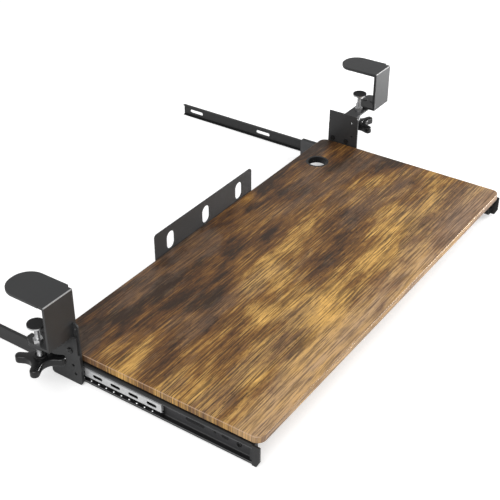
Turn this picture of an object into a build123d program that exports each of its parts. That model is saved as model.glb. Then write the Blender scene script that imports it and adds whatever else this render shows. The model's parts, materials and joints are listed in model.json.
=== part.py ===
# Clamp-on keyboard tray: a wooden board on two ball-bearing slides, hung from two desk clamps.
# Lengths are in millimetres. X runs along the desk edge, Y goes in under the desk, Z is up.
# The origin is above the middle of the board, on the plane of the clamp pads that rest on
# the desk top (z = 0) and of the pads that meet the desk's front edge (y = 0).
# The model stands with the board pulled out.

import os

from build123d import *

os.makedirs("parts", exist_ok=True)

# Driving dimensions of the board
board_width = 764.0
board_depth = 368.0
board_thickness = 12.0
board_corner_radius = 14.0
board_edge_round = 1.6
board_drop = 103.5
board_front_reach = 317.0

# Cable hole and its ring
cable_hole_radius = 19.0
cable_hole_from_side = 88.0
cable_hole_from_back = 41.0
ring_wall = 1.8
ring_flange_width = 2.2
ring_flange_height = 1.2
ring_fit = 0.05

# Upright plate behind the board
stop_width = 271.0
stop_rise = 45.0
stop_gauge = 2.0
stop_foot_depth = 26.0
stop_slot_width = 20.0
stop_slot_height = 32.0
stop_slot_pitch = 96.0
stop_slot_lift = 2.0
stop_corner_radius = 6.0
stop_slot_count = 3

# Slides
slide_height = 35.0
slide_length = 400.0
slide_depth = 12.7
slide_gauge = 1.5
slide_corner_radius = 3.2
lip_height = 5.2
slide_outset = 3.0
slide_side_gap = 0.3
fixed_rail_front = -8.0
fixed_rail_depth = 5.5
ball_diameter = 4.4
ball_clearance = 0.05
ball_pitch = 14.0
ball_from_lip = 0.7
cage_length = 245.0
cage_front = -154.0
cage_gauge = 0.7
cage_face_height = 12.5
cage_face_depth = 2.95
cage_leg_depth = 6.85
cage_leg_rise = 2.25
cage_leg_end_gap = 0.8
cage_slot_length = 17.5
cage_slot_height = 5.5
cage_slot_pitch = 32.6
cage_slot_first = 17.3

# Openings along the rails, measured from the front end of the moving rail
rail_hole_drop = 4.0
rail_slot_height = 7.0
rail_long_slot = 32.0
rail_long_slot_at = 100.0
rail_short_slot = 12.0
rail_short_slot_at = 50.0
rail_pin_hole_radius = 2.2
rail_pin_hole_at = 67.0
rail_rear_slot_at = 215.0
rail_screw_at = 27.0
rail_screw_from_end = 26.0
rail_screw_count = 3

# End cap of each moving rail
cap_length = 12.0
cap_gauge = 3.0
cap_chamfer = 5.0
cap_chamfer_height = 10.0
cap_plug_length = 4.0
cap_plug_gap = 0.2
cap_plug_recess = 1.2

# Angle between the board and each moving rail
angle_gauge = 2.0
angle_flange_width = 27.0
angle_corner_radius = 8.0
angle_back_gap = 3.0
angle_leg_margin = 3.0

# Clamps
clamp_width = 56.0
clamp_gauge = 4.0
clamp_inner_radius = 1.5
tongue_reach = 82.0
tongue_width = 61.0
tongue_round = 29.0
tongue_offset = 1.5
tongue_neck = 5.0
clamp_opening = 66.0
jaw_reach = 38.0
jaw_round = 9.0
tongue_pad_gauge = 2.5
face_pad_gauge = 2.0
pad_margin = 2.0
left_clamp_outset = 23.0
right_clamp_outset = 123.0

# Clamp screw, its nut, pad and knob
screw_radius = 4.0
screw_hole_radius = 4.3
screw_fit = 0.05
screw_back = 21.6
left_screw_offset = -20.0
right_screw_offset = -40.0
desk_thickness = 34.0
pad_rubber_gauge = 1.5
pad_radius = 13.0
pad_plate_gauge = 2.5
pad_collar_radius = 7.0
pad_collar_height = 2.0
pad_socket_floor = 1.0
nut_across_flats = 13.0
nut_height = 6.0
knob_top_drop = 25.0
knob_reach = 36.5
knob_arm_width = 14.0
knob_thickness = 12.0
knob_boss_radius = 9.5
knob_boss_height = 3.0
knob_web_fillet = 10.0
knob_edge_round = 2.4
left_knob_turn = 28.0
right_knob_turn = 70.0

# Hanger: the arm under the jaw, and the plate bent down from it
hanger_gauge = 3.0
hanger_arm_front = 9.0
hanger_arm_back = 36.0
hanger_bottom = -154.5
hanger_front = -16.0
hanger_step = 3.0
hanger_step_z = -100.0
hanger_back = 42.0
hanger_corner_radius = 5.0
hanger_bolt_y = 1.4
hanger_bolt_z = -97.5
hanger_rear_bolt_y = 30.0
hanger_sink_radius = 4.5
hanger_sink_depth = 1.5
hanger_hole_radius = 2.3
hanger_hole_y = -1.7
hanger_hole_z = -123.0
hanger_low_hole_y = -5.0
hanger_low_hole_z = -137.6
hanger_rivet_radius = 2.5
hanger_rivet_head_radius = 4.5
hanger_rivet_head = 1.0
hanger_rivet_offset = 2.0
hanger_rivet_pitch = 15.0

# Bracket between the hanger and the fixed rail
bracket_gauge = 2.5
left_bracket_front = -16.0
right_bracket_front = -22.0
bracket_back = 40.0
bracket_bottom = -152.5
bracket_shoulder = -70.5
left_bracket_top = -47.0
right_bracket_top = -42.0
bracket_ear_back = -6.5
bracket_ear_round = 7.5
bracket_corner_radius = 4.0
bracket_hole_radius = 2.2
bracket_hole_y = -10.5
bracket_hole_z = -57.0
bracket_low_hole_z = -85.0

# Small fasteners
bolt_radius = 3.0
bolt_head_radius = 5.0
bolt_head_height = 2.4
bolt_head_round = 1.7
bolt_nut_across_flats = 8.0
bolt_nut_height = 2.4
fixed_screw_radius = 2.0
fixed_screw_head_radius = 4.0
fixed_screw_head = 1.0
fixed_screw_y = 6.0
fixed_screw_pitch = 30.0
rail_bolt_radius = 2.0
rail_bolt_head_radius = 3.8
rail_bolt_head = 1.6
wood_screw_radius = 1.8
wood_screw_head_radius = 3.6
wood_screw_head = 1.8
wood_screw_bite = 8.0
driver_recess_radius = 1.3
driver_recess_depth = 0.7

# Places worked out from the driving dimensions
half_board = board_width / 2
slide_plane = half_board + slide_outset
left_clamp_x = -slide_plane - left_clamp_outset
right_clamp_x = slide_plane + right_clamp_outset
left_screw_x = left_clamp_x + left_screw_offset
right_screw_x = right_clamp_x + right_screw_offset
board_top = -board_drop
board_bottom = board_top - board_thickness
board_front = -board_front_reach
board_back = board_front + board_depth
board_mid_y = (board_front + board_back) / 2
angle_bottom = board_bottom - angle_gauge
slide_mid = angle_bottom - slide_height / 2
lip_plane = slide_plane - slide_side_gap
web_outside = lip_plane - slide_depth
web_inside = web_outside + slide_gauge
leg_inside = web_outside - angle_gauge
rail_front = board_front + cap_length
angle_length = board_back - angle_back_gap - rail_front
rail_hole_z = slide_mid - rail_hole_drop
race_half = slide_height / 2 - slide_gauge
fixed_half = race_half - ball_diameter - 2 * ball_clearance
ball_row = fixed_half + ball_clearance + ball_diameter / 2
ball_x = lip_plane - slide_gauge - ball_from_lip - ball_diameter / 2
cage_face_x = lip_plane - cage_face_depth
cage_leg_x = lip_plane - cage_leg_depth
cage_leg_end = lip_plane - slide_gauge - cage_leg_end_gap
bracket_outside = slide_plane + bracket_gauge
hanger_outside = bracket_outside + hanger_gauge
jaw_top = -clamp_opening
jaw_bottom = jaw_top - clamp_gauge
arm_bottom = jaw_bottom - hanger_gauge
clamp_face = -face_pad_gauge
clamp_front = clamp_face - clamp_gauge
tongue_top = tongue_pad_gauge + clamp_gauge
pad_top = -desk_thickness
pad_plate_top = pad_top - pad_rubber_gauge
pad_plate_bottom = pad_plate_top - pad_plate_gauge
collar_bottom = pad_plate_bottom - pad_collar_height
socket_top = pad_plate_top - pad_socket_floor
cable_hole_x = half_board - cable_hole_from_side
cable_hole_y = board_back - cable_hole_from_back

sides = {"left": -1, "right": 1}
clamp_x = {"left": left_clamp_x, "right": right_clamp_x}
screw_x = {"left": left_screw_x, "right": right_screw_x}
nut_seat = {"left": jaw_top, "right": jaw_bottom}
knob_turn = {"left": left_knob_turn, "right": right_knob_turn}
bracket_front = {"left": left_bracket_front, "right": right_bracket_front}
bracket_top = {"left": left_bracket_top, "right": right_bracket_top}


def section_at(y):
    """A plane across the slides: its own x is X, its own y is Z."""
    return Plane(origin=(0, y, 0), x_dir=(1, 0, 0), z_dir=(0, -1, 0))


def side_plane(x):
    """A plane along the slides: its own x is Y, its own y is Z, and it faces +X."""
    return Plane(origin=(x, 0, 0), x_dir=(0, 1, 0), z_dir=(1, 0, 0))


def level_at(side, z):
    """A level plane whose own origin is on the axis of one clamp screw."""
    return Plane(origin=(screw_x[side], screw_back, z))


def knob_top(side):
    """Height of the top of a knob's arms, below the nut of its screw."""
    return nut_seat[side] - knob_top_drop


def knob_bottom(side):
    """Height of the underside of a knob."""
    return knob_top(side) - knob_thickness


def write(piece, label):
    """Give a piece its name and write it as one STEP file."""
    piece.part.label = label
    export_step(piece.part, "parts/" + label + ".step")


def rail_bolt_places():
    """Y of each bolt that holds a moving rail to its angle."""
    first = rail_front + rail_screw_at
    last = rail_front + angle_length - rail_screw_from_end
    pitch = (last - first) / (rail_screw_count - 1)
    return [first + index * pitch for index in range(rail_screw_count)]


def fixed_screw_places():
    """Y of each screw that holds a fixed rail to its bracket."""
    return [fixed_screw_y, fixed_screw_y + fixed_screw_pitch]


def ball_places():
    """Y of each ball along one row of the cage."""
    count = int((cage_length - ball_pitch) / ball_pitch)
    first = cage_front + cage_length / 2 - (count - 1) * ball_pitch / 2
    return [first + index * ball_pitch for index in range(count)]


def cage_slot_places():
    """Y of each slot along the face of the cage."""
    count = int((cage_length - 2 * cage_slot_first) / cage_slot_pitch) + 1
    first = cage_front + cage_slot_first
    return [first + index * cage_slot_pitch for index in range(count)]


def angle_screw_places(side):
    """Where an angle is screwed to the board, seen from above."""
    x = sides[side] * (leg_inside - angle_flange_width / 2)
    first = rail_front + angle_flange_width
    last = board_back - 2 * angle_flange_width
    return [(x, first), (x, (first + last) / 2), (x, last)]


def hanger_rivet_places(side):
    """Where an arm is riveted to the jaw, seen from above."""
    x = clamp_x[side] + hanger_rivet_offset
    mid = (hanger_arm_front + hanger_arm_back) / 2
    return [(x, mid - hanger_rivet_pitch / 2), (x, mid + hanger_rivet_pitch / 2)]


def stop_screw_places():
    """Where the foot of the stop plate is screwed to the board, seen from above."""
    y = board_back - stop_foot_depth / 2
    middle = (stop_slot_count - 1) / 2
    return [((index - middle) * stop_slot_pitch, y) for index in range(stop_slot_count)]


def board_screw_places():
    """Every wood screw under the board, seen from above."""
    return stop_screw_places() + angle_screw_places("left") + angle_screw_places("right")


def make_tray_board():
    """The board: one rounded panel with a cable hole near its right rear corner."""
    with BuildPart() as board:
        with BuildSketch(Plane.XY.offset(board_bottom)):
            with Locations((0, board_mid_y)):
                RectangleRounded(board_width, board_depth, board_corner_radius)
        extrude(amount=board_thickness)
        fillet(board.faces().filter_by(Axis.Z).edges(), board_edge_round)
        with BuildSketch(Plane.XY.offset(board_bottom)):
            with Locations((cable_hole_x, cable_hole_y)):
                Circle(cable_hole_radius)
        extrude(amount=board_thickness, mode=Mode.SUBTRACT)
        with BuildSketch(Plane.XY.offset(board_top)):
            with Locations((cable_hole_x, cable_hole_y)):
                Circle(cable_hole_radius + ring_flange_width)
        extrude(amount=-ring_flange_height, mode=Mode.SUBTRACT)
        with BuildSketch(Plane.XY.offset(board_bottom)):
            with Locations(*board_screw_places()):
                Circle(wood_screw_radius)
        extrude(amount=wood_screw_bite, mode=Mode.SUBTRACT)
    write(board, "tray_board")


def make_cable_ring():
    """The ring that lines the cable hole, with a flange let in flush with the board."""
    bore = cable_hole_radius - ring_wall
    with BuildPart() as ring:
        with BuildSketch(Plane.XY.offset(board_bottom)):
            with Locations((cable_hole_x, cable_hole_y)):
                Circle(cable_hole_radius - ring_fit)
                Circle(bore, mode=Mode.SUBTRACT)
        extrude(amount=board_thickness)
        with BuildSketch(Plane.XY.offset(board_top - ring_flange_height)):
            with Locations((cable_hole_x, cable_hole_y)):
                Circle(cable_hole_radius + ring_flange_width - ring_fit)
                Circle(bore, mode=Mode.SUBTRACT)
        extrude(amount=ring_flange_height)
    write(ring, "cable_ring")


def make_rear_stop_plate():
    """The slotted upright behind the board, on a foot screwed under it."""
    stop_top = board_top + stop_rise
    with BuildPart() as plate:
        with BuildSketch(section_at(board_back)) as upright:
            with Locations((0, (angle_bottom + stop_top) / 2)):
                Rectangle(stop_width, stop_top - angle_bottom)
            fillet(upright.vertices().group_by(Axis.Y)[-1], stop_corner_radius)
            with Locations((0, board_top + stop_slot_lift + stop_slot_height / 2)):
                with GridLocations(stop_slot_pitch, 0, stop_slot_count, 1):
                    SlotOverall(
                        stop_slot_height,
                        stop_slot_width,
                        rotation=90,
                        mode=Mode.SUBTRACT,
                    )
        extrude(amount=-stop_gauge)
        with BuildSketch(Plane.XY.offset(angle_bottom)) as foot:
            with Locations((0, board_back + stop_gauge - stop_foot_depth / 2)):
                Rectangle(stop_width, stop_foot_depth)
            fillet(foot.vertices().group_by(Axis.Y)[0], stop_corner_radius)
            with Locations(*stop_screw_places()):
                Circle(wood_screw_radius, mode=Mode.SUBTRACT)
        extrude(amount=stop_gauge)
        low_edges = plate.edges().filter_by(Axis.X).group_by(Axis.Z)[0]
        fillet(low_edges.sort_by(Axis.Y)[-1], stop_gauge)
    write(plate, "rear_stop_plate")


def make_wood_screws(places, label):
    """Pan-head screws driven up into the board, as one node of separate screws."""
    head_bottom = angle_bottom - wood_screw_head
    with BuildPart() as screws:
        with BuildSketch(Plane.XY.offset(head_bottom)):
            with Locations(*places):
                Circle(wood_screw_head_radius)
        extrude(amount=wood_screw_head)
        fillet(screws.edges().group_by(Axis.Z)[0], wood_screw_head / 2)
        with BuildSketch(Plane.XY.offset(angle_bottom)):
            with Locations(*places):
                Circle(wood_screw_radius)
        extrude(amount=angle_gauge + wood_screw_bite)
        with BuildSketch(Plane.XY.offset(head_bottom)):
            with Locations(*places):
                Rectangle(2 * driver_recess_radius, driver_recess_radius / 2)
                Rectangle(driver_recess_radius / 2, 2 * driver_recess_radius)
        extrude(amount=driver_recess_depth, mode=Mode.SUBTRACT)
    write(screws, label)


def make_moving_rail(side):
    """The large C of one slide, open towards the hanger, which travels with the board."""
    hand = sides[side]
    mid_x = hand * (lip_plane + web_outside) / 2
    mouth_x = hand * lip_plane
    with BuildPart() as rail:
        with BuildSketch(section_at(rail_front)):
            with Locations((mid_x, slide_mid)):
                RectangleRounded(slide_depth, slide_height, slide_corner_radius)
                RectangleRounded(
                    slide_depth - 2 * slide_gauge,
                    slide_height - 2 * slide_gauge,
                    slide_corner_radius - slide_gauge,
                    mode=Mode.SUBTRACT,
                )
            with Locations((mouth_x, slide_mid)):
                Rectangle(4 * slide_gauge, slide_height - 2 * lip_height, mode=Mode.SUBTRACT)
        extrude(amount=-slide_length)
        with BuildSketch(side_plane(hand * (web_outside + web_inside) / 2)):
            with Locations((rail_front + rail_long_slot_at, rail_hole_z)):
                SlotOverall(rail_long_slot, rail_slot_height)
            with Locations((rail_front + rail_rear_slot_at, rail_hole_z)):
                SlotOverall(rail_long_slot, rail_slot_height)
            with Locations((rail_front + rail_short_slot_at, rail_hole_z)):
                SlotOverall(rail_short_slot, rail_slot_height)
            with Locations((rail_front + rail_pin_hole_at, rail_hole_z)):
                Circle(rail_pin_hole_radius)
            with Locations(*[(y, rail_hole_z) for y in rail_bolt_places()]):
                Circle(rail_bolt_radius)
        extrude(amount=slide_gauge, both=True, mode=Mode.SUBTRACT)
    write(rail, side + "_moving_rail")


def make_fixed_rail(side):
    """The small C of one slide, screwed to the bracket, with its flanges towards the board."""
    hand = sides[side]
    mid_x = hand * (slide_plane - fixed_rail_depth / 2)
    cut_x = hand * (slide_plane - slide_gauge - fixed_rail_depth / 2)
    with BuildPart() as rail:
        with BuildSketch(section_at(fixed_rail_front)):
            with Locations((mid_x, slide_mid)):
                Rectangle(fixed_rail_depth, 2 * fixed_half)
            with Locations((cut_x, slide_mid)):
                Rectangle(fixed_rail_depth, 2 * fixed_half - 2 * slide_gauge, mode=Mode.SUBTRACT)
        extrude(amount=-slide_length)
        with BuildSketch(side_plane(hand * (slide_plane - slide_gauge / 2))):
            with Locations(*[(y, slide_mid) for y in fixed_screw_places()]):
                Circle(fixed_screw_radius)
            with Locations((fixed_rail_front + slide_length / 2, slide_mid)):
                SlotOverall(rail_long_slot, rail_slot_height)
            with Locations((fixed_rail_front + slide_length - rail_long_slot, slide_mid)):
                SlotOverall(rail_long_slot, rail_slot_height)
        extrude(amount=slide_gauge, both=True, mode=Mode.SUBTRACT)
    write(rail, side + "_fixed_rail")


def make_ball_cage(side):
    """The sheet strip that carries the balls: a slotted face, stepped legs and ball shelves."""
    hand = sides[side]
    face_half = cage_face_height / 2
    leg_half = face_half + cage_leg_rise
    with BuildPart() as cage:
        with BuildSketch(section_at(cage_front)):
            with BuildLine():
                Polyline(
                    (hand * cage_leg_end, slide_mid + ball_row),
                    (hand * cage_leg_x, slide_mid + ball_row),
                    (hand * cage_leg_x, slide_mid + leg_half),
                    (hand * cage_face_x, slide_mid + face_half),
                    (hand * cage_face_x, slide_mid - face_half),
                    (hand * cage_leg_x, slide_mid - leg_half),
                    (hand * cage_leg_x, slide_mid - ball_row),
                    (hand * cage_leg_end, slide_mid - ball_row),
                )
                offset(amount=cage_gauge / 2, side=Side.BOTH)
            make_face()
        extrude(amount=-cage_length)
        with BuildSketch(section_at(cage_front)):
            with Locations((hand * (cage_face_x + cage_leg_x) / 2, slide_mid)):
                Rectangle(cage_leg_depth - cage_face_depth, cage_face_height - cage_leg_rise)
        extrude(amount=-cage_gauge)
        with BuildSketch(side_plane(hand * cage_face_x)):
            with Locations(*[(y, slide_mid) for y in cage_slot_places()]):
                SlotOverall(cage_slot_length, cage_slot_height)
        extrude(amount=cage_gauge, both=True, mode=Mode.SUBTRACT)
        for row in (-ball_row, ball_row):
            with BuildSketch(Plane.XY.offset(slide_mid + row)):
                with Locations(*[(hand * ball_x, y) for y in ball_places()]):
                    Circle(ball_diameter / 2)
            extrude(amount=ball_diameter / 2, both=True, mode=Mode.SUBTRACT)
    write(cage, side + "_ball_cage")


def make_balls(side):
    """Both rows of balls of one slide."""
    spots = []
    for y in ball_places():
        for row in (-ball_row, ball_row):
            spots.append((sides[side] * ball_x, y, slide_mid + row))
    with BuildPart() as balls:
        with Locations(*spots):
            Sphere(ball_diameter / 2)
    write(balls, side + "_balls")


def make_end_cap(side):
    """The moulded cap on the front end of a moving rail, with a plug inside the C."""
    hand = sides[side]
    low = slide_mid - slide_height / 2
    high = slide_mid + slide_height / 2
    plug_depth = slide_depth - 2 * slide_gauge - 2 * cap_plug_gap
    plug_x = hand * (lip_plane - slide_gauge - cap_plug_gap - plug_depth / 2)
    plug_height = slide_height - 2 * slide_gauge - 2 * cap_plug_gap
    with BuildPart() as cap:
        with BuildSketch(side_plane(hand * lip_plane)):
            with BuildLine():
                Polyline(
                    (rail_front, low),
                    (rail_front, high),
                    (board_front, high),
                    (board_front, low + cap_chamfer_height),
                    (board_front + cap_chamfer, low),
                    (rail_front, low),
                )
            make_face()
        extrude(amount=-hand * cap_gauge)
        with BuildSketch(section_at(rail_front - cap_plug_recess)):
            with Locations((plug_x, slide_mid)):
                RectangleRounded(plug_depth, plug_height, slide_corner_radius - slide_gauge)
        extrude(amount=-cap_plug_recess - cap_plug_length)
    write(cap, side + "_end_cap")


def make_tray_angle(side):
    """The angle that is screwed under the board and carries the moving rail."""
    hand = sides[side]
    leg_x = hand * (web_outside - angle_gauge / 2)
    flange_x = hand * (web_outside - angle_flange_width / 2)
    leg_height = angle_gauge + slide_height - angle_leg_margin
    with BuildPart() as angle:
        with BuildSketch(section_at(rail_front)):
            with Locations((leg_x, board_bottom - leg_height / 2)):
                Rectangle(angle_gauge, leg_height)
            with Locations((flange_x, board_bottom - angle_gauge / 2)):
                Rectangle(angle_flange_width, angle_gauge)
        extrude(amount=-angle_length)
        outlines = angle.edges().filter_by(Axis.Z).sort_by(Axis.X, reverse=hand < 0)
        fillet(outlines[:2], angle_corner_radius)
        with BuildSketch(Plane.XY.offset(angle_bottom)):
            with Locations(*angle_screw_places(side)):
                Circle(wood_screw_radius)
        extrude(amount=angle_gauge, mode=Mode.SUBTRACT)
        with BuildSketch(side_plane(leg_x)):
            with Locations(*[(y, rail_hole_z) for y in rail_bolt_places()]):
                Circle(rail_bolt_radius)
        extrude(amount=angle_gauge, both=True, mode=Mode.SUBTRACT)
    write(angle, side + "_tray_angle")


def make_moving_rail_bolts(side):
    """Low-head bolts through the moving rail's web and the angle's leg, with thin nuts."""
    hand = sides[side]
    spots = [(y, rail_hole_z) for y in rail_bolt_places()]
    with BuildPart() as bolts:
        with BuildSketch(side_plane(hand * web_inside)):
            with Locations(*spots):
                Circle(rail_bolt_head_radius)
        extrude(amount=hand * rail_bolt_head)
        outermost = bolts.edges().group_by(Axis.X)[-1 if hand > 0 else 0]
        fillet(outermost, rail_bolt_head / 2)
        with BuildSketch(side_plane(hand * (web_inside + rail_bolt_head))):
            with Locations(*spots):
                RegularPolygon(driver_recess_radius, 6)
        extrude(amount=-hand * driver_recess_depth, mode=Mode.SUBTRACT)
        with BuildSketch(side_plane(hand * leg_inside)):
            with Locations(*spots):
                Circle(rail_bolt_radius)
        extrude(amount=hand * (angle_gauge + slide_gauge))
        with BuildSketch(side_plane(hand * leg_inside)):
            with Locations(*spots):
                RegularPolygon(rail_bolt_head_radius, 6)
        extrude(amount=-hand * rail_bolt_head)
    write(bolts, side + "_moving_rail_bolts")


def make_slide_bracket(side):
    """The flat bracket of the fixed rail; the left one is notched behind its ear for the clamp."""
    hand = sides[side]
    bolt_spots = [(hanger_bolt_y, hanger_bolt_z), (hanger_rear_bolt_y, hanger_bolt_z)]
    hole_spots = [(bracket_hole_y, bracket_hole_z), (bracket_hole_y, bracket_low_hole_z)]
    front = bracket_front[side]
    top = bracket_top[side]
    with BuildPart() as bracket:
        with BuildSketch(side_plane(hand * slide_plane)) as outline:
            with Locations(((front + bracket_back) / 2, (top + bracket_bottom) / 2)):
                Rectangle(bracket_back - front, top - bracket_bottom)
            fillet(outline.vertices().group_by(Axis.Y)[0], bracket_corner_radius)
            upper = outline.vertices().group_by(Axis.Y)[-1]
            fillet(upper.sort_by(Axis.X)[0], bracket_ear_round)
            if side == "left":
                notch_width = bracket_back - bracket_ear_back
                notch_height = top - bracket_shoulder
                notch_y = (bracket_back + bracket_ear_back) / 2
                with Locations((notch_y, (top + bracket_shoulder) / 2)):
                    Rectangle(notch_width, notch_height, mode=Mode.SUBTRACT)
            with Locations(*hole_spots):
                Circle(bracket_hole_radius, mode=Mode.SUBTRACT)
            with Locations(*bolt_spots):
                Circle(bolt_radius, mode=Mode.SUBTRACT)
            with Locations(*[(y, slide_mid) for y in fixed_screw_places()]):
                Circle(fixed_screw_radius, mode=Mode.SUBTRACT)
        extrude(amount=hand * bracket_gauge)
    write(bracket, side + "_slide_bracket")


def make_hanger(side):
    """The arm riveted under the jaw and the plate bent down from it."""
    hand = sides[side]
    bolt_spots = [(hanger_bolt_y, hanger_bolt_z), (hanger_rear_bolt_y, hanger_bolt_z)]
    hole_spots = [(hanger_hole_y, hanger_hole_z), (hanger_low_hole_y, hanger_low_hole_z)]
    arm_end = abs(clamp_x[side]) + clamp_width / 2
    arm_length = arm_end - bracket_outside
    arm_y = (hanger_arm_front + hanger_arm_back) / 2
    with BuildPart() as hanger:
        with BuildSketch(side_plane(hand * bracket_outside)) as outline:
            with BuildLine():
                Polyline(
                    (hanger_front, hanger_bottom),
                    (hanger_front, hanger_step_z),
                    (hanger_front + hanger_step, hanger_step_z),
                    (hanger_front + hanger_step, jaw_bottom),
                    (hanger_back, jaw_bottom),
                    (hanger_back, hanger_bottom),
                    (hanger_front, hanger_bottom),
                )
            make_face()
            fillet(outline.vertices().group_by(Axis.Y)[0], hanger_corner_radius)
            with Locations(*hole_spots):
                Circle(hanger_hole_radius, mode=Mode.SUBTRACT)
            with Locations(*bolt_spots):
                Circle(bolt_radius, mode=Mode.SUBTRACT)
        extrude(amount=hand * hanger_gauge)
        with BuildSketch(side_plane(hand * hanger_outside)):
            with Locations((hanger_rear_bolt_y, hanger_bolt_z)):
                Circle(hanger_sink_radius)
        extrude(amount=-hand * hanger_sink_depth, mode=Mode.SUBTRACT)
        with BuildSketch(Plane.XY.offset(arm_bottom)):
            with Locations((hand * (bracket_outside + arm_length / 2), arm_y)):
                Rectangle(arm_length, hanger_arm_back - hanger_arm_front)
        extrude(amount=hanger_gauge)
        tips = hanger.edges().filter_by(Axis.Z).sort_by(Axis.X, reverse=hand > 0)[:2]
        fillet(tips, hanger_corner_radius)
        with BuildSketch(Plane.XY.offset(arm_bottom)):
            with Locations((screw_x[side], screw_back)):
                Circle(screw_hole_radius)
            with Locations(*hanger_rivet_places(side)):
                Circle(hanger_rivet_radius)
        extrude(amount=hanger_gauge, mode=Mode.SUBTRACT)
    write(hanger, side + "_hanger")


def make_hanger_rivets(side):
    """Rivets through the jaw and the arm under it."""
    spots = hanger_rivet_places(side)
    with BuildPart() as rivets:
        with BuildSketch(Plane.XY.offset(jaw_top)):
            with Locations(*spots):
                Circle(hanger_rivet_head_radius)
        extrude(amount=hanger_rivet_head)
        with BuildSketch(Plane.XY.offset(arm_bottom - hanger_rivet_head)):
            with Locations(*spots):
                Circle(hanger_rivet_head_radius)
        extrude(amount=hanger_rivet_head)
        rims = rivets.edges().filter_by(GeomType.CIRCLE).group_by(Axis.Z)
        fillet(rims[0] + rims[-1], hanger_rivet_head / 2)
        with BuildSketch(Plane.XY.offset(arm_bottom)):
            with Locations(*spots):
                Circle(hanger_rivet_radius)
        extrude(amount=clamp_gauge + hanger_gauge)
    write(rivets, side + "_hanger_rivets")


def make_bracket_bolts(side):
    """A button-head and a flush bolt, with thin nuts, that join hanger plate and bracket."""
    hand = sides[side]
    spots = [(hanger_bolt_y, hanger_bolt_z), (hanger_rear_bolt_y, hanger_bolt_z)]
    with BuildPart() as bolts:
        with BuildSketch(side_plane(hand * hanger_outside)):
            with Locations(spots[0]):
                Circle(bolt_head_radius)
        extrude(amount=hand * bolt_head_height)
        outermost = bolts.edges().group_by(Axis.X)[-1 if hand > 0 else 0]
        fillet(outermost, bolt_head_round)
        with BuildSketch(side_plane(hand * (hanger_outside + bolt_head_height))):
            with Locations(spots[0]):
                RegularPolygon(driver_recess_radius, 6)
        extrude(amount=-hand * driver_recess_depth, mode=Mode.SUBTRACT)
        with BuildSketch(side_plane(hand * slide_plane)):
            with Locations(*spots):
                Circle(bolt_radius)
        extrude(amount=hand * (bracket_gauge + hanger_gauge))
        with BuildSketch(side_plane(hand * hanger_outside)):
            with Locations(spots[1]):
                Circle(hanger_sink_radius)
        extrude(amount=-hand * hanger_sink_depth)
        with BuildSketch(side_plane(hand * hanger_outside)):
            with Locations(spots[1]):
                RegularPolygon(driver_recess_radius, 6)
        extrude(amount=-hand * driver_recess_depth, mode=Mode.SUBTRACT)
        with BuildSketch(side_plane(hand * slide_plane)):
            with Locations(*spots):
                RegularPolygon(bolt_nut_across_flats / 2, 6, major_radius=False)
        extrude(amount=-hand * bolt_nut_height)
    write(bolts, side + "_bracket_bolts")


def make_fixed_rail_screws(side):
    """Low-head screws that hold the fixed rail to the bracket."""
    hand = sides[side]
    spots = [(y, slide_mid) for y in fixed_screw_places()]
    rail_face = slide_plane - slide_gauge
    with BuildPart() as screws:
        with BuildSketch(side_plane(hand * rail_face)):
            with Locations(*spots):
                Circle(fixed_screw_head_radius)
        extrude(amount=-hand * fixed_screw_head)
        with BuildSketch(side_plane(hand * (rail_face - fixed_screw_head))):
            with Locations(*spots):
                RegularPolygon(driver_recess_radius, 6)
        extrude(amount=hand * driver_recess_depth, mode=Mode.SUBTRACT)
        with BuildSketch(side_plane(hand * rail_face)):
            with Locations(*spots):
                Circle(fixed_screw_radius)
        extrude(amount=hand * (slide_gauge + bracket_gauge))
    write(screws, side + "_fixed_rail_screws")


def make_clamp_body(side):
    """One clamp, bent from thick strip: tongue on the desk, front plate and lower jaw."""
    centre = clamp_x[side]
    tongue_x = centre + tongue_offset
    with BuildPart() as clamp:
        with BuildSketch(side_plane(tongue_x)) as profile:
            with BuildLine():
                Polyline(
                    (tongue_reach, tongue_top),
                    (clamp_front, tongue_top),
                    (clamp_front, jaw_bottom),
                    (jaw_reach, jaw_bottom),
                    (jaw_reach, jaw_top),
                    (clamp_face, jaw_top),
                    (clamp_face, tongue_pad_gauge),
                    (tongue_reach, tongue_pad_gauge),
                    (tongue_reach, tongue_top),
                )
            make_face()
            inner_bends = profile.vertices().group_by(Axis.X)[1]
            outer_bends = profile.vertices().group_by(Axis.X)[0]
            fillet(inner_bends, clamp_inner_radius)
            fillet(outer_bends, clamp_inner_radius + clamp_gauge)
        extrude(amount=tongue_width / 2, both=True)
        for hand in (-1, 1):
            plate_edge = centre + hand * clamp_width / 2
            tongue_edge = tongue_x + hand * tongue_width / 2
            strip_x = (plate_edge + tongue_edge) / 2
            strip_width = abs(tongue_edge - plate_edge)
            with BuildSketch(Plane.XY.offset(jaw_bottom)):
                with Locations((strip_x, (clamp_front + tongue_neck) / 2)):
                    Rectangle(strip_width, tongue_neck - clamp_front)
            extrude(amount=tongue_top - jaw_bottom, mode=Mode.SUBTRACT)
            with BuildSketch(Plane.XY.offset(jaw_bottom)):
                with Locations((strip_x, (clamp_front + jaw_reach) / 2)):
                    Rectangle(strip_width, jaw_reach - clamp_front)
            extrude(amount=clamp_gauge, mode=Mode.SUBTRACT)
        uprights = clamp.edges().filter_by(Axis.Z)
        fillet(uprights.group_by(Axis.Y)[-1], tongue_round)
        jaw_uprights = clamp.edges().filter_by(Axis.Z).group_by(Axis.Z)[0]
        fillet(jaw_uprights.group_by(Axis.Y)[-1], jaw_round)
        with BuildSketch(Plane.XY.offset(jaw_bottom)):
            with Locations((screw_x[side], screw_back)):
                Circle(screw_hole_radius)
            with Locations(*hanger_rivet_places(side)):
                Circle(hanger_rivet_radius)
        extrude(amount=clamp_gauge, mode=Mode.SUBTRACT)
    write(clamp, side + "_clamp_body")


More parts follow.
